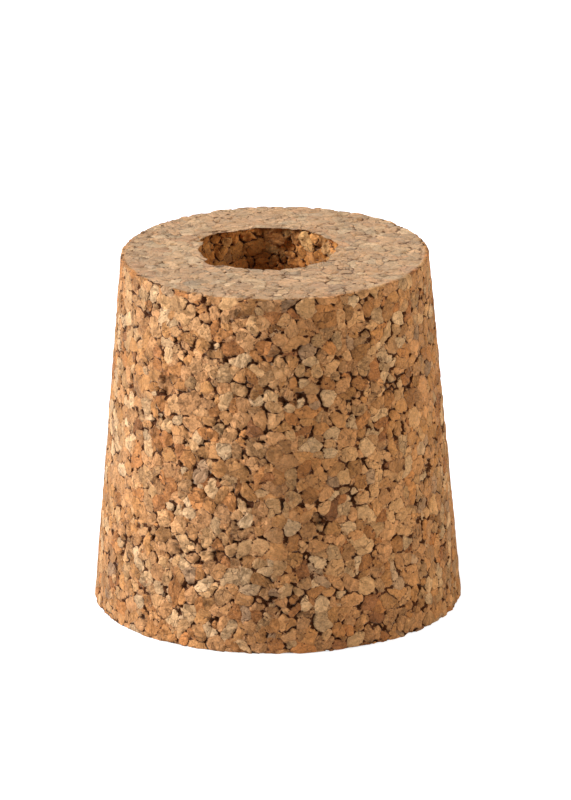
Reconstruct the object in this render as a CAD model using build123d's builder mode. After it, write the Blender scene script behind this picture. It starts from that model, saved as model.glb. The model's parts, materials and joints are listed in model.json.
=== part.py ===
"""Tapered cork stopper, turned from pressed cork granules, with a tube bore from end to end.

Frame: millimetres, +Z up. The stopper stands on its wide end. The origin is the centre of the wide end's face,
and the narrow end, the one that goes into a bottle's neck, faces up. The bore is parallel to Z and was drilled a
little off the stopper's axis.
"""

import os

from build123d import *

# Turned taper
wide_diameter = 48.0
narrow_diameter = 40.0
height = 46.8

# The sawn wide end keeps a crisp rim, and the narrow end's rim is worn rounder by use
wide_rim_radius = 0.2
narrow_rim_radius = 0.45

# Drilled bore, for a tube or an airlock's stem
bore_diameter = 17.4
bore_offset_x = -0.9
bore_offset_y = 1.4


def make_stopper():
    """The whole stopper: a turned taper with both outer rims eased, and one plain bore right through it."""
    with BuildPart() as stopper:
        with BuildSketch(Plane.XZ):
            with BuildLine():
                Polyline(
                    (0, 0),
                    (wide_diameter / 2, 0),
                    (narrow_diameter / 2, height),
                    (0, height),
                    close=True,
                )
            make_face()
        revolve(axis=Axis.Z)

        outer_rims = stopper.edges().filter_by(GeomType.CIRCLE).sort_by(Axis.Z)
        fillet(outer_rims[0], radius=wide_rim_radius)
        fillet(outer_rims[-1], radius=narrow_rim_radius)

        with Locations((bore_offset_x, bore_offset_y, height)):
            Hole(radius=bore_diameter / 2, depth=height)

    stopper.part.label = "stopper"
    return stopper


os.makedirs("parts", exist_ok=True)
stopper = make_stopper()
export_step(stopper.part, "parts/stopper.step")
print("stopper volume mm3", round(stopper.part.volume), "size", stopper.part.bounding_box().size)
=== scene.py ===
"""Looks of the cork stopper: one closed mesh of bonded cork granules, with its material, light
and camera.

The CAD node is a plain turned taper with a tube bore. This script covers the same surface with
granules. It packs them in the block that the stopper is cut from, fits the mesh's edges to the
seams where they meet, and sinks the seams, the pores and the torn granules into the surface.
Nothing stands proud of the CAD surface but crumbs of up to 0.1 mm in the bore's mouth.
Lengths are millimetres until a mesh is made, and metres in Blender.
"""

import json
import math

import bpy
import numpy as np
from mathutils import Matrix, Vector, kdtree


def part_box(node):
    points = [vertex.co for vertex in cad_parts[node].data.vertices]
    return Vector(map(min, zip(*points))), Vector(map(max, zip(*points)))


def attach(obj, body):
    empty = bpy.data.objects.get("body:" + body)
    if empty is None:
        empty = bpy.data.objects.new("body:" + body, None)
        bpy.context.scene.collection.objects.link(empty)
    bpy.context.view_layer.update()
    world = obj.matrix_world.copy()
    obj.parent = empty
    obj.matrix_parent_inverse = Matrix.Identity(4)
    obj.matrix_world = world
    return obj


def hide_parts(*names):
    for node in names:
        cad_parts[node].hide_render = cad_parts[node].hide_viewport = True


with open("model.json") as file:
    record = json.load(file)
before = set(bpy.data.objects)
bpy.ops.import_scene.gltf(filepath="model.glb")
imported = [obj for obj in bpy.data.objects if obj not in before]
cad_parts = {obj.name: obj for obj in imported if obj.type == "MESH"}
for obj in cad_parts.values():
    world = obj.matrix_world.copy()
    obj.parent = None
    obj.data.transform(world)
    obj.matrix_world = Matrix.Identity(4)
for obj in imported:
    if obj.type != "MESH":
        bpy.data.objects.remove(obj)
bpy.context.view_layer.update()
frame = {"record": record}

MM = 0.001
FULL_TURN = 2 * math.pi
NODE = "stopper"
BODY = "root"

# The CAD part's own sizes
bore_mount = next(m for m in frame["record"]["mounts"] if m["name"] == "bore")
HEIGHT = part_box(NODE)[1].z / MM
WIDE_RADIUS = 24.0
NARROW_RADIUS = 20.0
WIDE_RIM = 0.2
NARROW_RIM = 0.45
BORE_RADIUS = bore_mount["dims"]["r_mm"]
BORE_CENTRE = np.array(bore_mount["pos_m"][:2]) / MM
TAPER = math.atan2(WIDE_RADIUS - NARROW_RADIUS, HEIGHT)

# Mesh spacing on each part of the surface, and the number of rings round each rim
SIDE_STEP = 0.33
TOP_STEP = 0.31
BASE_STEP = 0.62
MOUTH_STEP = 0.24
BORE_STEP = 0.85
MOUTH_DEPTH = 6.5
WIDE_RIM_RINGS = 3
NARROW_RIM_RINGS = 4

# Kinds of granule, the largest first: the lattice's spacing, the share of its points that is
# kept, and the room kept clear of each larger kind
GRANULES = (
    {"spacing": 3.9, "share": 0.60, "room": ()},
    {"spacing": 2.45, "share": 0.92, "room": (2.10,)},
    {"spacing": 1.40, "share": 0.62, "room": (1.70, 1.15)},
)
JITTER = 0.42  # how far a granule may lie from its lattice point, in spacings
STRETCH = 0.6  # how far a granule may be stretched or squashed, as a power of e
SHELL = 3.0  # granules are packed only this near the surface
CELL = 2.8  # size of the cells that granules are sorted into for the search

# How far the seams wander, the size of the bumps and the first noise seed: coarse, then fine
WANDER = ((0.24, 1.0, 40), (0.18, 0.55, 50))

# The bore's mouth: its ragged edge, how fast its outline fades across the end face, and its chips
RAG_DEPTH = 1.6
RAG_OVERHANG = 0.1
OUTLINE_FADE = 6
CHIPS = (  # direction in degrees, width in degrees, how far back, how deep
    (142, 17, 0.9, 3.0),
    (219, 11, 1.1, 1.0),
    (322, 12, 0.4, 1.2),
    (48, 12, 0.3, 1.6),
)

rng = np.random.default_rng(20)


# ---------------------------------------------------------------- noise and packing


def noise(points, size, seed):
    """Smooth noise from -1 to 1 at each point, with bumps about size mm across."""
    cells = 32
    table = np.random.default_rng(seed).uniform(-1, 1, (cells, cells, cells))
    at = points / size
    corner = np.floor(at).astype(int)
    part = at - corner
    part = part * part * (3 - 2 * part)
    value = np.zeros(len(points))
    for offset in np.ndindex(2, 2, 2):
        weight = np.prod(np.where(offset, part, 1 - part), axis=1)
        x, y, z = ((corner + offset) % cells).T
        value += weight * table[x, y, z]
    return value


def smooth(value, low, high):
    """0 below low, 1 above high, and smooth between."""
    part = np.clip((value - low) / (high - low), 0, 1)
    return part * part * (3 - 2 * part)


def surface_distance(points):
    """Roughly how far each point lies from the stopper's surface, inside or outside it."""
    axis_distance = np.hypot(points[:, 0], points[:, 1])
    z = points[:, 2]
    side = np.abs(axis_distance - (WIDE_RADIUS - z * math.tan(TAPER)))
    bore = np.abs(np.hypot(*(points[:, :2] - BORE_CENTRE).T) - BORE_RADIUS)
    ends = np.minimum(np.abs(z), np.abs(z - HEIGHT))
    return np.minimum(np.minimum(side, bore), ends)


def lattice(spacing, share):
    """Points on a lattice over the shell, each moved at random, with a share of them kept."""
    reach = WIDE_RADIUS + SHELL
    across = np.arange(-reach, reach + spacing, spacing)
    up = np.arange(-SHELL, HEIGHT + SHELL + spacing, spacing)
    grid = np.stack(np.meshgrid(across, across, up, indexing="ij"), -1).reshape(-1, 3)
    grid[:, 0] += (np.round(grid[:, 2] / spacing) % 2) * spacing / 2
    grid += rng.uniform(-JITTER, JITTER, grid.shape) * spacing
    near = surface_distance(grid) < SHELL
    near &= np.hypot(grid[:, 0], grid[:, 1]) < reach
    near &= rng.random(len(grid)) < share
    return grid[near]


def tree_of(points):
    """A search tree over the points."""
    tree = kdtree.KDTree(len(points))
    for i, p in enumerate(points):
        tree.insert(p, i)
    tree.balance()
    return tree


def random_frames(count):
    """One matrix for each granule, into its own turned and stretched frame, so that some
    granules are flat and some are long."""
    turn, _ = np.linalg.qr(rng.normal(size=(count, 3, 3)))
    stretch = np.exp(rng.uniform(-STRETCH, STRETCH, (count, 3)))
    stretch /= np.cbrt(stretch.prod(axis=1))[:, None]
    return stretch[:, :, None] * turn


def pack_granules():
    """Centres and frames of the granules: the largest first, then smaller ones between them."""
    centres, trees = [], []
    for kind in GRANULES:
        points = lattice(kind["spacing"], kind["share"])
        for tree, room in zip(trees, kind["room"]):
            points = np.array([p for p in points if tree.find(p)[2] > room])
        centres.append(points)
        trees.append(tree_of(points))
    centres = np.concatenate(centres)
    return centres, random_frames(len(centres))


centres, frames = pack_granules()


def reach_to(points, granules):
    """How far each point lies from its own granule in the list, in that granule's frame."""
    apart = points - centres[granules]
    return np.linalg.norm(np.einsum("nij,nj->ni", frames[granules], apart), axis=1)


def ragged(points):
    """The points as the seams see them: moved a little, so that seams aren't ruled lines."""
    moved = [
        sum(amount * noise(points, size, seed + axis) for amount, size, seed in WANDER)
        for axis in range(3)
    ]
    return points + np.stack(moved, axis=1)


def nearest_granules(points):
    """The three nearest granules to each point and their distances."""
    homes = {}
    for i, home in enumerate(map(tuple, np.floor(centres / CELL).astype(int))):
        homes.setdefault(home, []).append(i)
    cells = np.floor(points / CELL).astype(int)
    order = np.lexsort(cells.T)
    changes = np.any(np.diff(cells[order], axis=0), axis=1)
    granules = np.zeros((len(points), 3), int)
    distances = np.zeros((len(points), 3))
    for group in np.split(order, np.flatnonzero(changes) + 1):
        x, y, z = cells[group[0]]
        around = [(x + i - 1, y + j - 1, z + k - 1) for i, j, k in np.ndindex(3, 3, 3)]
        candidates = np.array([granule for home in around for granule in homes.get(home, [])])
        apart = points[group][:, None] - centres[candidates][None]
        apart = np.einsum("nij,pnj->pni", frames[candidates], apart)
        away = np.linalg.norm(apart, axis=2)
        best = np.argsort(away, axis=1)[:, :3]
        granules[group] = candidates[best]
        distances[group] = np.take_along_axis(away, best, axis=1)
    return granules, distances


# ---------------------------------------------------------------- the cut surface as rings


def mouth_wear(angles, depth):
    """How far the bore's mouth is broken back, at these angles and this depth below its end."""
    x = BORE_RADIUS * np.cos(angles)
    y = BORE_RADIUS * np.sin(angles)
    around = np.stack([x, y, np.full(len(angles), depth)], axis=1)
    rag = 0.50 * noise(around, size=1.5, seed=80) + 0.30 * noise(around, size=0.7, seed=81)
    worn = np.maximum(rag, -RAG_OVERHANG) * math.exp(-((depth / RAG_DEPTH) ** 2))
    for direction, width, back, deep in CHIPS:
        turn = np.degrees(angles) - direction + 3 * noise(around, size=1.2, seed=82)
        turn = (turn + 180) % 360 - 180
        fade = math.exp(-((depth / deep) ** 4))
        worn += back * smooth(-np.abs(turn), -width, -0.5 * width) * fade
    return worn


def arc_points(centre, radius, start, end, count):
    """Profile points on an arc, ends included: radius, height and the outward normal's angle."""
    for angle in np.linspace(start, end, count):
        yield centre[0] + radius * math.cos(angle), centre[1] + radius * math.sin(angle), angle


def spaced(start, end, step):
    """Values from start to end, both included, one row of even triangles apart."""
    return np.linspace(start, end, max(2, round(abs(end - start) / step * 2 / math.sqrt(3)) + 1))


def profile():
    """The closed profile, once round. Each ring has its share of the bore's offset, radius,
    height, the outward normal's angle, mesh step and region."""
    rings = []
    rim_turn = math.pi / 2 - TAPER

    wide_centre = (WIDE_RADIUS - WIDE_RIM * math.tan(math.pi / 4 + TAPER / 2), WIDE_RIM)
    for r in spaced(BORE_RADIUS, wide_centre[0], BASE_STEP)[:-1]:
        share = (wide_centre[0] - r) / (wide_centre[0] - BORE_RADIUS)
        rings.append((share, r, 0.0, -math.pi / 2, BASE_STEP, "base"))
    for r, z, angle in arc_points(wide_centre, WIDE_RIM, -math.pi / 2, TAPER, WIDE_RIM_RINGS):
        rings.append((0.0, r, z, angle, SIDE_STEP, "side"))

    narrow_centre = (NARROW_RADIUS - NARROW_RIM * math.tan(rim_turn / 2), HEIGHT - NARROW_RIM)
    low = rings[-1]
    narrow_arc = list(
        arc_points(narrow_centre, NARROW_RIM, TAPER, math.pi / 2, NARROW_RIM_RINGS)
    )
    for z in spaced(low[2], narrow_arc[0][1], SIDE_STEP)[1:-1]:
        along = (z - low[2]) / (narrow_arc[0][1] - low[2])
        r = low[1] + along * (narrow_arc[0][0] - low[1])
        rings.append((0.0, r, z, TAPER, SIDE_STEP, "side"))
    for r, z, angle in narrow_arc:
        rings.append((0.0, r, z, angle, SIDE_STEP, "side"))

    edge = narrow_centre[0]
    for r in spaced(edge, BORE_RADIUS, TOP_STEP)[1:-1]:
        share = (edge - r) / (edge - BORE_RADIUS)
        rings.append((share, r, HEIGHT, math.pi / 2, TOP_STEP, "top"))

    mouth_tilt = math.pi * 0.75  # halfway between straight up and into the bore
    rings.append((1.0, BORE_RADIUS, HEIGHT, mouth_tilt, MOUTH_STEP, "top"))
    for depth in spaced(0, MOUTH_DEPTH, MOUTH_STEP)[1:]:
        rings.append((1.0, BORE_RADIUS, HEIGHT - depth, math.pi, MOUTH_STEP, "bore"))
    for depth in spaced(MOUTH_DEPTH, HEIGHT, BORE_STEP)[1:-1]:
        rings.append((1.0, BORE_RADIUS, HEIGHT - depth, math.pi, BORE_STEP, "bore"))
    return rings


def closed_ring(angles):
    """A ring's angles with its first point again at the end, and the middle of each step."""
    closed = np.append(angles, angles[0] + FULL_TURN)
    return closed, (closed[1:] + closed[:-1]) / 2


def stitch(angles_a, first_a, angles_b, first_b):
    """Triangles between two rings of points, with the angle of each corner."""
    closed_a, middle_a = closed_ring(angles_a)
    closed_b, middle_b = closed_ring(angles_b)
    moves_a = np.append(np.ones(len(middle_a), bool), np.zeros(len(middle_b), bool))
    order = np.argsort(np.append(middle_a, middle_b), kind="stable")
    moves_a = moves_a[order]
    at_a = np.cumsum(moves_a) - moves_a
    at_b = np.cumsum(~moves_a) - ~moves_a
    third_a = np.where(moves_a, at_a + 1, 0)
    third_b = np.where(moves_a, 0, at_b + 1)

    count_a, count_b = len(angles_a), len(angles_b)
    third = np.where(moves_a, first_a + third_a % count_a, first_b + third_b % count_b)
    third_angle = np.where(moves_a, closed_a[third_a], closed_b[third_b])
    corners = np.stack([first_a + at_a % count_a, third, first_b + at_b % count_b], axis=1)
    turns = np.stack([closed_a[at_a], third_angle, closed_b[at_b]], axis=1)
    return corners, turns


def cut_surface():
    """The stopper's plain surface: its points, their outward normals and regions, and the
    triangles between them with the angle of each corner."""
    points, normals, regions, starts, turns = [], [], [], [], []
    for number, (share, radius, z, tilt, step, region) in enumerate(profile()):
        count = round(FULL_TURN * radius / step)
        angles = (np.arange(count) + 0.5 * (number % 2)) * FULL_TURN / count
        if region == "base":
            worn = np.zeros(count)
        elif share == 1.0:
            worn = mouth_wear(angles, HEIGHT - z)
        else:
            worn = share**OUTLINE_FADE * mouth_wear(angles, 0)
        reach = radius + worn
        x = share * BORE_CENTRE[0] + reach * np.cos(angles)
        y = share * BORE_CENTRE[1] + reach * np.sin(angles)
        starts.append(sum(map(len, points)))
        turns.append(angles)
        points.append(np.stack([x, y, np.full(count, z)], axis=1))
        out_x = math.cos(tilt) * np.cos(angles)
        out_y = math.cos(tilt) * np.sin(angles)
        normals.append(np.stack([out_x, out_y, np.full(count, math.sin(tilt))], axis=1))
        regions += [region] * count

    triangles, corner_turns = [], []
    for a in range(len(starts)):
        b = (a + 1) % len(starts)
        corners, angles = stitch(turns[a], starts[a], turns[b], starts[b])
        triangles.append(corners)
        corner_turns.append(angles)
    return (
        np.concatenate(points),
        np.concatenate(normals),
        np.array(regions),
        np.concatenate(triangles),
        np.concatenate(corner_turns),
    )


points, normals, regions, triangles, corner_turns = cut_surface()
print("surface", len(points), "points", len(triangles), "triangles", len(centres), "granules")


# ---------------------------------------------------------------- seams fitted to the mesh


def edges_of(triangles):
    """Every pair of points that share an edge, once."""
    pairs = np.concatenate([triangles[:, [0, 1]], triangles[:, [1, 2]], triangles[:, [2, 0]]])
    return np.unique(np.sort(pairs, axis=1), axis=0)


def fit_to_seams(points):
    """Moves points along their edges onto the nearest seam, so that seams run along edges of
    the mesh. Gives the moved points, and which of them lie on a seam."""
    own = nearest_granules(ragged(points))[0][:, 0]
    pairs = edges_of(triangles)
    pairs = pairs[own[pairs[:, 0]] != own[pairs[:, 1]]]
    ends = [points[pairs[:, k]] for k in (0, 1)]
    pull = []
    for end in ends:
        bent = ragged(end)
        pull.append(reach_to(bent, own[pairs[:, 0]]) - reach_to(bent, own[pairs[:, 1]]))
    tiny = 1e-12  # keeps the division safe
    crossing = np.clip(pull[0] / (pull[0] - pull[1] + tiny), 0, 1)
    mover = np.where(crossing < 0.5, pairs[:, 0], pairs[:, 1])
    target = ends[0] + crossing[:, None] * (ends[1] - ends[0])
    total = np.zeros_like(points)
    times = np.zeros(len(points))
    np.add.at(total, mover, target)
    np.add.at(times, mover, 1)
    on_seam = times > 0
    moved = points.copy()
    moved[on_seam] = total[on_seam] / times[on_seam, None]
    return moved, on_seam


points, on_seam = fit_to_seams(points)
near_granules, near_distances = nearest_granules(ragged(points))
own_granule = near_granules[:, 0]
seam_gap = near_distances[:, 1] - near_distances[:, 0]
seam_gap[on_seam] = 0
corner_gap = near_distances[:, 2] - near_distances[:, 0]
face_granule = nearest_granules(ragged(points[triangles].mean(axis=1)))[0][:, 0]


# ---------------------------------------------------------------- relief


def seam_opening():
    """How wide the seam is open near each point: mostly shut, with pores where three granules
    meet."""
    by_region = {"side": 1.0, "top": 0.32, "base": 0.8, "bore": 1.2}
    widest_crack = 0.08
    widest_pore = 0.38
    pore_reach = 0.27
    along = noise(points, size=1.3, seed=60) + 0.5 * noise(points, size=0.6, seed=61)
    crack = widest_crack * smooth(along, 0.50, 1.2)
    crowding = noise(points, size=0.9, seed=63) + 0.4 * noise(points, size=5.0, seed=62)
    pore = np.clip(1 - corner_gap / pore_reach, 0, 1) * smooth(crowding, -0.05, 0.25)
    scale = np.array([by_region[r] for r in regions])
    return scale * (crack + widest_pore * pore)


def granule_sink():
    """How far each granule's cut face lies below the CAD surface. A few are torn deeper, but
    none near a rim."""
    count = len(centres)
    deepest = 0.11
    torn_share = 0.008
    least_torn, most_torn = 0.3, 0.6
    rim_clearance = 2.0
    sink = deepest * rng.random(count) ** 2
    torn = rng.random(count) < torn_share
    torn &= (centres[:, 2] > rim_clearance) & (centres[:, 2] < HEIGHT - rim_clearance)
    sink[torn] += rng.uniform(least_torn, most_torn, count)[torn]
    return sink


def relief():
    """The depth of each point below the CAD surface, and how open its seam is."""
    opening = seam_opening()
    in_bore = regions == "bore"

    # Each granule's cut face is sunk and leans its own way, three times as much in the bore
    lean_spread = 0.055
    bore_scale = 3.0
    sink = granule_sink()[own_granule]
    lean = rng.normal(0, lean_spread, (len(centres), 3))[own_granule]
    sink += np.abs(((points - centres[own_granule]) * lean).sum(axis=1))
    sink = np.where(in_bore, bore_scale * sink, sink)

    # A fine roughness, then grooves along the seams, which are wide and deep at the pores
    depth = sink + 0.02 * (1 + noise(points, size=0.8, seed=70))
    groove = 0.01 + 0.5 * opening + 0.35 * smooth(opening, 0.10, 0.4)
    groove_reach = 0.10 + 0.6 * opening
    depth += groove * (1 - smooth(seam_gap, 0.0, groove_reach))

    # Broad unevenness in the bore
    depth += np.where(in_bore, 0.22 * (1 + noise(points, size=2.2, seed=71)), 0.0)

    # Small losses along both rims
    rim_loss = 0.18
    axis_distance = np.hypot(points[:, 0], points[:, 1])
    rim_gap = np.minimum(
        np.hypot(axis_distance - NARROW_RADIUS, points[:, 2] - HEIGHT),
        np.hypot(axis_distance - WIDE_RADIUS, points[:, 2]),
    )
    wear = noise(points, size=1.0, seed=72) + 0.4 * noise(points, size=3.0, seed=73)
    depth += rim_loss * smooth(wear, 0.05, 0.8) * (1 - smooth(rim_gap, 0.2, 1.1))
    return depth, opening


depth, opening = relief()
surface = points - normals * depth[:, None]


# ---------------------------------------------------------------- mesh


def flat_map():
    """A flat map of the surface for each triangle corner: the side in two strips, then the two
    ends and the bore. It is laid out in mm on a square sheet."""
    sheet = 122.0
    margin = 1.0
    strip_pitch = 49.0
    ends_left = 79.0
    base_low = 43.0
    base_scale = 0.82
    bore_low = 99.0
    bore_widening = 1.2
    bore_squash = 0.45

    corner_points = points[triangles]
    mean_turn = corner_turns.mean(axis=1)
    middle_turn = mean_turn % FULL_TURN
    laps = np.round((mean_turn - middle_turn) / FULL_TURN)
    turn = corner_turns - FULL_TURN * laps[:, None]
    region = regions[triangles[:, 0]]
    place = np.zeros(corner_points.shape[:2] + (2,))

    second_strip = (middle_turn > math.pi)[:, None]
    side = region == "side"
    u = (turn - math.pi * second_strip) * WIDE_RADIUS + margin
    v = corner_points[..., 2] + margin + strip_pitch * second_strip
    place[side] = np.stack([u, v], axis=-1)[side]

    for name, low, scale in (("top", margin, 1.0), ("base", base_low, base_scale)):
        end = region == name
        middle = (ends_left + NARROW_RADIUS, low + NARROW_RADIUS)
        place[end] = corner_points[end][..., :2] * scale + middle

    bore = region == "bore"
    u = turn * BORE_RADIUS * bore_widening + margin
    v = corner_points[..., 2] * bore_squash + bore_low
    place[bore] = np.stack([u, v], axis=-1)[bore]
    return place / sheet


def add_attribute(mesh, name, domain, values):
    """Stores one number for each point or face on the mesh, for the material to read."""
    attribute = mesh.attributes.new(name, "FLOAT", domain)
    attribute.data.foreach_set("value", np.asarray(values, np.float32).ravel())


def sharpen_seams(mesh):
    """Marks the edges between two granules as sharp, so that each is shaded as its own face."""
    loop_edges = np.zeros(len(mesh.loops), int)
    mesh.loops.foreach_get("edge_index", loop_edges)
    owners = np.repeat(face_granule, 3)
    low = np.full(len(mesh.edges), owners.max() + 1)
    high = np.full(len(mesh.edges), -1)
    np.minimum.at(low, loop_edges, owners)
    np.maximum.at(high, loop_edges, owners)
    sharp = mesh.attributes.new("sharp_edge", "BOOLEAN", "EDGE")
    sharp.data.foreach_set("value", low != high)


def make_stopper():
    """The stopper's visible mesh, in metres, in the row frame."""
    mesh = bpy.data.meshes.new("stopper_cork")
    mesh.from_pydata((surface * MM).tolist(), [], triangles.tolist())
    mesh.update()
    add_attribute(mesh, "granule", "FACE", face_granule)
    add_attribute(mesh, "seam_gap", "POINT", seam_gap)
    add_attribute(mesh, "opening", "POINT", opening)
    add_attribute(mesh, "depth", "POINT", depth)
    add_attribute(mesh, "sawn", "POINT", np.isin(regions, ("top", "base")))
    add_attribute(mesh, "bored", "POINT", regions == "bore")
    flat = mesh.uv_layers.new(name="OFBake")
    flat.uv.foreach_set("vector", flat_map().astype(np.float32).ravel())
    mesh.shade_smooth()
    sharpen_seams(mesh)
    piece = bpy.data.objects.new("stopper_cork", mesh)
    bpy.context.scene.collection.objects.link(piece)
    return piece


# ---------------------------------------------------------------- material


class Nodes:
    """Short calls that add nodes to one material or world."""

    def __init__(self, owner):
        owner.use_nodes = True
        self.tree = owner.node_tree
        self.tree.nodes.clear()

    def fill(self, socket, value):
        """Links a node's output to the socket, or sets the socket to a plain value."""
        if isinstance(value, bpy.types.NodeSocket):
            self.tree.links.new(value, socket)
        else:
            socket.default_value = value

    def add(self, kind, settings=None, **inputs):
        """A node, with its settings and its inputs, which are given by name. Inputs that share
        a name are given by number, as i0, i1 and so on."""
        node = self.tree.nodes.new(kind)
        for name, value in (settings or {}).items():
            setattr(node, name, value)
        for name, value in inputs.items():
            numbered = name[0] == "i" and name[1:].isdigit()
            self.fill(node.inputs[int(name[1:]) if numbered else name], value)
        return node

    def math(self, operation, a, b):
        """One number from two."""
        return self.add("ShaderNodeMath", {"operation": operation}, i0=a, i1=b).outputs[0]

    def plus(self, *values):
        """The sum of the numbers."""
        total = values[0]
        for value in values[1:]:
            total = self.math("ADD", total, value)
        return total

    def times(self, a, b):
        """The product of two numbers."""
        return self.math("MULTIPLY", a, b)

    def vector(self, operation, a, b):
        """One vector from two."""
        return self.add("ShaderNodeVectorMath", {"operation": operation}, i0=a, i1=b).outputs[0]

    def scaled(self, value, factor):
        """The vector times a number."""
        node = self.add("ShaderNodeVectorMath", {"operation": "SCALE"}, i0=value, Scale=factor)
        return node.outputs["Vector"]

    def attribute(self, name):
        """The number that the mesh stores under this name."""
        return self.add("ShaderNodeAttribute", {"attribute_name": name}).outputs["Fac"]

    def noise(self, at, size, detail=2.0, roughness=0.5):
        """Noise from 0 to 1, with bumps about size across."""
        node = self.add(
            "ShaderNodeTexNoise", Vector=at, Scale=1 / size, Detail=detail, Roughness=roughness
        )
        return node.outputs["Fac"]

    def between(self, value, low, high, out_low=0.0, out_high=1.0):
        """out_low below low, out_high above high, and smooth between."""
        node = self.add("ShaderNodeMapRange", {"interpolation_type": "SMOOTHSTEP"})
        names = ("Value", "From Min", "From Max", "To Min", "To Max")
        for name, given in zip(names, (value, low, high, out_low, out_high)):
            self.fill(node.inputs[name], given)
        return node.outputs["Result"]

    def ramp(self, value, stops):
        """A colour for each value from 0 to 1, from (place, colour) stops."""
        node = self.add("ShaderNodeValToRGB", Fac=value)
        elements = node.color_ramp.elements
        while len(elements) < len(stops):
            elements.new(1.0)
        for element, (place, colour) in zip(elements, stops):
            element.position = place
            element.color = (*colour, 1)
        return node.outputs["Color"]

    def mix(self, factor, a, b, blend="MIX"):
        """Two colours mixed. Plain colours are given without their alpha."""
        node = self.add("ShaderNodeMix", {"data_type": "RGBA", "blend_type": blend})
        factor_input, first_colour, second_colour = 0, 6, 7
        for number, given in ((factor_input, factor), (first_colour, a), (second_colour, b)):
            value = (*given, 1) if isinstance(given, tuple) else given
            self.fill(node.inputs[number], value)
        return node.outputs[2]

    def tilted(self, at, cells):
        """A height that leans its own way in each cell of a Voronoi texture."""
        apart = self.vector("SUBTRACT", at, cells["Position"])
        lean = self.vector("SUBTRACT", cells["Color"], (0.5, 0.5, 0.5))
        node = self.add("ShaderNodeVectorMath", {"operation": "DOT_PRODUCT"}, i0=apart, i1=lean)
        return node.outputs["Value"]

    def seen(self):
        """1 for camera rays and for reflected or refracted ones, and 0 for diffuse light."""
        ray = self.add("ShaderNodeLightPath").outputs
        mirrored = self.math("MAXIMUM", ray["Is Camera Ray"], ray["Is Glossy Ray"])
        return self.math("MAXIMUM", mirrored, ray["Is Transmission Ray"])


# Granule colours, from the darkest through the common tans to the palest cork, then a grey one
DARK_TAN = (0.36, 0.138, 0.047)
ORANGE = (0.55, 0.205, 0.056)
TAN = (0.56, 0.243, 0.072)
PINK_TAN = (0.63, 0.283, 0.100)
PALE_TAN = (0.67, 0.340, 0.126)
CREAM = (0.78, 0.46, 0.21)
GREY_TAN = (0.48, 0.255, 0.115)
GRANULE_TONES = (  # where each colour stands in the range that granules are picked from
    (0.00, DARK_TAN),
    (0.045, ORANGE),
    (0.20, TAN),
    (0.52, PINK_TAN),
    (0.82, PALE_TAN),
    (0.96, CREAM),
    (0.980, GREY_TAN),
)

# Rust stains and granule edges, with painted shade beside open seams; the dark brown of open
# seams and pores with the shade painted inside them; the sawn ends' bloom and the bore wall's
# tint
RED_BROWN = (0.30, 0.085, 0.022)
GAP_SHADE = (0.062, 0.013, 0.0006)
SAWN = (0.68, 0.49, 0.29)
BORED = (1.0, 0.87, 0.62)

CRUMB_SIZE = 0.95
FLAKE_SIZE = 0.42


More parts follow.
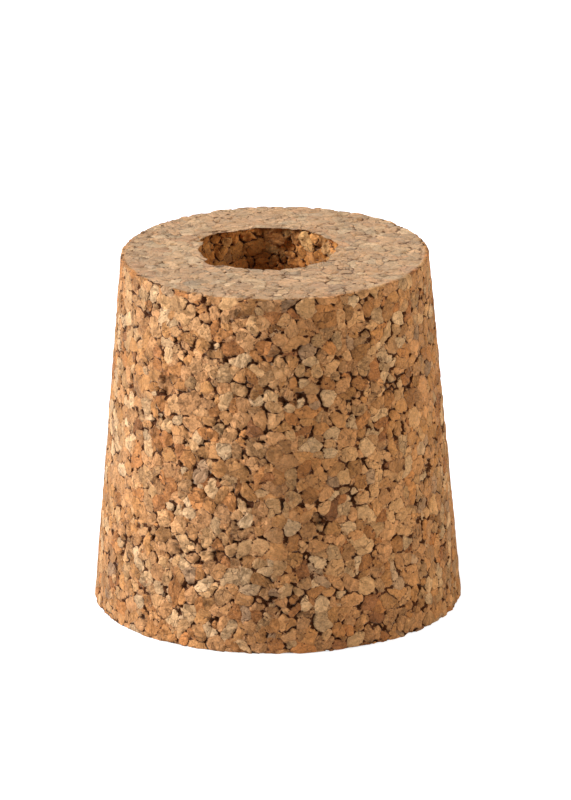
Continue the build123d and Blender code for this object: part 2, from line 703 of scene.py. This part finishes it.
def cork_material():
    """Cut cork: every granule its own colour and grain, with painted light and shade on the fine
    grain; seams and pores dark brown with painted shade in and beside them; a fine bump.
    """
    material = bpy.data.materials.new("cork")
    n = Nodes(material)
    place = n.scaled(n.add("ShaderNodeTexCoord").outputs["Object"], 1 / MM)

    granule = n.attribute("granule")
    seam = n.attribute("seam_gap")
    opening = n.attribute("opening")
    deep = n.attribute("depth")
    sawn = n.attribute("sawn")
    bored = n.attribute("bored")
    own_noise = {"noise_dimensions": "1D"}
    random_a = n.add("ShaderNodeTexWhiteNoise", own_noise, W=granule).outputs
    random_b = n.add("ShaderNodeTexWhiteNoise", own_noise, W=n.plus(granule, 0.5)).outputs
    chances = n.add("ShaderNodeSeparateColor", Color=random_b["Color"]).outputs

    # Each granule's grain runs its own way
    turned = n.add(
        "ShaderNodeVectorRotate",
        {"rotation_type": "AXIS_ANGLE"},
        Vector=place,
        Axis=random_a["Color"],
        Angle=n.times(chances[0], FULL_TURN),
    ).outputs[0]
    moved = n.vector("ADD", turned, n.scaled(random_b["Color"], 30.0))
    streaked = n.vector("MULTIPLY", moved, (0.35, 1.6, 1.0))
    blotches = n.noise(moved, 1.5, detail=3.0, roughness=0.6)
    streaks = n.noise(streaked, 0.45, detail=3.0, roughness=0.65)
    grain = n.noise(place, 0.26, detail=3.0, roughness=0.75)

    # Crumbs: small broken facets inside the granules, some with gaps round them. Flakes: the
    # same again, smaller and drawn out along the grain
    bend = n.add("ShaderNodeTexNoise", Vector=place, Scale=1.4).outputs["Color"]
    crumb_place = n.vector("ADD", place, n.scaled(bend, 0.45))
    crumbs = n.add("ShaderNodeTexVoronoi", Vector=crumb_place, Scale=1 / CRUMB_SIZE).outputs
    crumb_edge = n.add(
        "ShaderNodeTexVoronoi",
        {"feature": "DISTANCE_TO_EDGE"},
        Vector=crumb_place,
        Scale=1 / CRUMB_SIZE,
    ).outputs["Distance"]
    crumb_tone = n.add("ShaderNodeSeparateColor", Color=crumbs["Color"]).outputs[0]
    crumbly = n.between(n.noise(place, 3.0, detail=1.0), 0.38, 0.60, 0.25, 1.0)
    crumb_crack = n.times(n.between(crumb_edge, 0.015, 0.07, 1.0, 0.0), crumbly)
    gappy = n.between(n.noise(place, 0.8, detail=1.0), 0.50, 0.62)
    crumb_crack = n.times(crumb_crack, gappy)
    flake_place = n.vector("MULTIPLY", moved, (0.5, 1.4, 1.0))
    flakes = n.add("ShaderNodeTexVoronoi", Vector=flake_place, Scale=1 / FLAKE_SIZE).outputs

    # Each granule's own tone, lighter and darker by granule, blotch, streak, grain and crumb. The
    # grain's share is partly painted light and shade: lighter on the crests and darker in the
    # hollows of the grain's bump below
    level = n.plus(
        n.between(chances[1], 0.0, 1.0, 0.76, 1.14),
        n.between(blotches, 0.3, 0.7, -0.15, 0.13),
        n.between(streaks, 0.3, 0.7, -0.14, 0.12),
        # grain tone, with painted light and shade that follow the grain's bump
        n.between(grain, 0.35, 0.65, -0.14, 0.12),
        n.times(crumbly, n.between(crumb_tone, 0.0, 1.0, -0.20, 0.16)),
    )
    shade = n.add("ShaderNodeCombineColor", Red=level, Green=level, Blue=level).outputs[0]
    tone = n.ramp(random_a["Value"], GRANULE_TONES)
    colour = n.mix(1.0, tone, shade, "MULTIPLY")

    # Rust-red stains inside some granules, the sawn ends' bloom and the bore wall's tint
    spots = n.between(n.noise(moved, 0.8, detail=3.0, roughness=0.6), 0.58, 0.72)
    stain = n.times(spots, n.between(chances[2], 0.5, 0.9))
    colour = n.mix(n.times(stain, 0.6), colour, RED_BROWN)
    colour = n.mix(n.times(sawn, 0.40), colour, SAWN)
    colour = n.mix(bored, colour, n.mix(1.0, colour, BORED, "MULTIPLY"))

    # Brown edges round the granules: broken thin lines of their own red-brown, and halos of
    # painted shade beside open seams
    line = n.between(seam, 0.0, 0.14, 1.0, 0.0)
    line = n.times(line, n.between(blotches, 0.35, 0.65, 0.05, 0.45))
    line = n.times(line, n.between(sawn, 0.0, 1.0, 1.0, 0.4))
    shade_halo = n.between(seam, 0.0, 0.28, 1.0, 0.0)
    shade_halo = n.times(shade_halo, n.between(opening, 0.03, 0.22, 0.0, 0.45))
    # the thin lines' own red-brown, and painted shade beside open seams
    colour = n.mix(n.math("MAXIMUM", line, shade_halo), colour, RED_BROWN)

    # Dark gaps, painted with the dark brown of pores and cracks and with the shade that falls
    # inside them: open seams and pores, gaps between crumbs, pits near the seams, and torn
    # hollows, which are darkened by their depth alone
    width = n.times(opening, n.between(grain, 0.35, 0.65, 0.6, 1.3))
    gap = n.math("SUBTRACT", seam, width)
    crack = n.times(n.between(gap, -0.04, 0.02, 1.0, 0.0), n.between(opening, 0.005, 0.05))
    crack = n.math("MAXIMUM", crack, n.times(crumb_crack, 0.6))
    pit = n.between(n.noise(place, 0.5, detail=2.0, roughness=0.6), 0.605, 0.63)
    pit = n.times(pit, n.between(seam, 0.05, 0.30, 1.0, 0.0))
    pit = n.times(pit, n.between(sawn, 0.0, 1.0, 1.0, 0.5))
    crack = n.math("MAXIMUM", crack, pit)
    hollow_shade = n.times(n.between(deep, 0.35, 0.8), n.between(bored, 0.0, 1.0, 0.6, 0.0))
    # painted shade in the torn hollows, darker where they are deeper
    colour = n.mix(hollow_shade, colour, GAP_SHADE)
    crack_strength = n.between(sawn, 0.0, 1.0, 0.93, 0.70)
    # the gaps' own dark brown and the shade painted inside them
    colour = n.mix(n.times(crack, crack_strength), colour, GAP_SHADE)

    # Relief too fine for the mesh, in mm
    height = n.plus(
        n.times(n.tilted(crumb_place, crumbs), 0.50),
        n.times(n.tilted(flake_place, flakes), 0.75),
        n.plus(n.times(grain, 0.10), n.times(streaks, 0.10)),
    )
    height = n.math("SUBTRACT", height, n.times(crack, 0.14))
    seam_groove = n.times(n.between(seam, 0.0, 0.12, 1.0, 0.0), 0.04)
    height = n.math("SUBTRACT", height, seam_groove)
    bump = n.add("ShaderNodeBump", Strength=1.0, Distance=MM, Height=height).outputs[0]

    rough = n.between(streaks, 0.3, 0.7, 0.78, 0.92)
    shader = n.add("ShaderNodeBsdfPrincipled", Roughness=rough, Normal=bump)
    n.fill(shader.inputs["Base Color"], colour)
    shader.inputs["Specular IOR Level"].default_value = 0.12
    shader.inputs["Sheen Weight"].default_value = 0.28
    shader.inputs["Sheen Roughness"].default_value = 0.3
    shader.inputs["Sheen Tint"].default_value = (1.0, 0.74, 0.46, 1.0)
    n.add("ShaderNodeOutputMaterial", Surface=shader.outputs[0])
    return material


stopper = make_stopper()
stopper.data.materials.append(cork_material())
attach(stopper, BODY)
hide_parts(NODE)


# ---------------------------------------------------------------- floor, light and camera


def make_floor():
    """A pale floor that the camera sees as white paper, with the stopper's shadow on it."""
    half = 6.0
    grey = 0.75
    glow = 0.8
    mesh = bpy.data.meshes.new("floor")
    corners = [(-half, -half, 0), (half, -half, 0), (half, half, 0), (-half, half, 0)]
    mesh.from_pydata(corners, [], [(0, 1, 2, 3)])
    floor = bpy.data.objects.new("floor", mesh)
    bpy.context.scene.collection.objects.link(floor)
    material = bpy.data.materials.new("floor")
    n = Nodes(material)
    lit = n.add("ShaderNodeBsdfDiffuse", Color=(grey, grey, grey, 1)).outputs[0]
    strength = n.times(n.seen(), glow)
    white = n.add("ShaderNodeEmission", Color=(1, 1, 1, 1), Strength=strength).outputs[0]
    both = n.add("ShaderNodeAddShader", i0=lit, i1=white).outputs[0]
    n.add("ShaderNodeOutputMaterial", Surface=both)
    mesh.materials.append(material)


def make_light(name, size, power, place, colour):
    """A square soft box that faces the middle of the stopper."""
    light = bpy.data.lights.new(name, "AREA")
    light.size = size
    light.energy = power
    light.color = colour
    lamp = bpy.data.objects.new(name, light)
    lamp.location = place
    aim = Vector((0, 0, HEIGHT * MM / 2)) - lamp.location
    lamp.rotation_euler = aim.to_track_quat("-Z", "Y").to_euler()
    bpy.context.scene.collection.objects.link(lamp)


def make_world():
    """Weak even light from all round, behind a background that the camera sees as white."""
    ambient = 0.20
    backdrop = 0.80
    world = bpy.data.worlds.new("studio")
    bpy.context.scene.world = world
    n = Nodes(world)
    strength = n.plus(n.times(n.seen(), backdrop), ambient)
    light = n.add("ShaderNodeBackground", Color=(1, 1, 1, 1), Strength=strength)
    n.add("ShaderNodeOutputWorld", Surface=light.outputs[0])


def make_camera():
    """A long lens at a low angle. Its distance and frame are stated in stopper heights."""
    elevation = math.radians(18.60)
    roll = math.radians(-0.54)
    distance = 30.0
    frame_heights = 2.222
    aside, above = 0.0251, 0.0640

    back = Vector((0, -math.cos(elevation), math.sin(elevation)))
    right = Vector((1, 0, 0))
    up = back.cross(right)
    rolled_right = math.cos(roll) * right + math.sin(roll) * up
    rolled_up = back.cross(rolled_right)

    data = bpy.data.cameras.new("camera")
    data.sensor_width = 36.0
    data.lens = data.sensor_width * distance / frame_heights
    camera = bpy.data.objects.new("camera", data)
    middle = Vector((0, 0, 0.5))
    place = middle + back * distance + rolled_right * aside + rolled_up * above
    facing = Matrix((rolled_right, rolled_up, back)).transposed().to_4x4()
    camera.matrix_world = Matrix.Translation(place * HEIGHT * MM) @ facing
    bpy.context.scene.collection.objects.link(camera)
    bpy.context.scene.camera = camera


make_floor()
make_world()
make_light(
    "key", size=0.35, power=11.2, place=(-0.735, -0.065, 0.52), colour=(0.96, 1.06, 1.30)
)
make_light("fill", size=0.4, power=4.1, place=(0.80, -0.14, 0.30), colour=(1.0, 0.96, 0.92))
make_camera()
bpy.context.scene.view_settings.view_transform = "Standard"
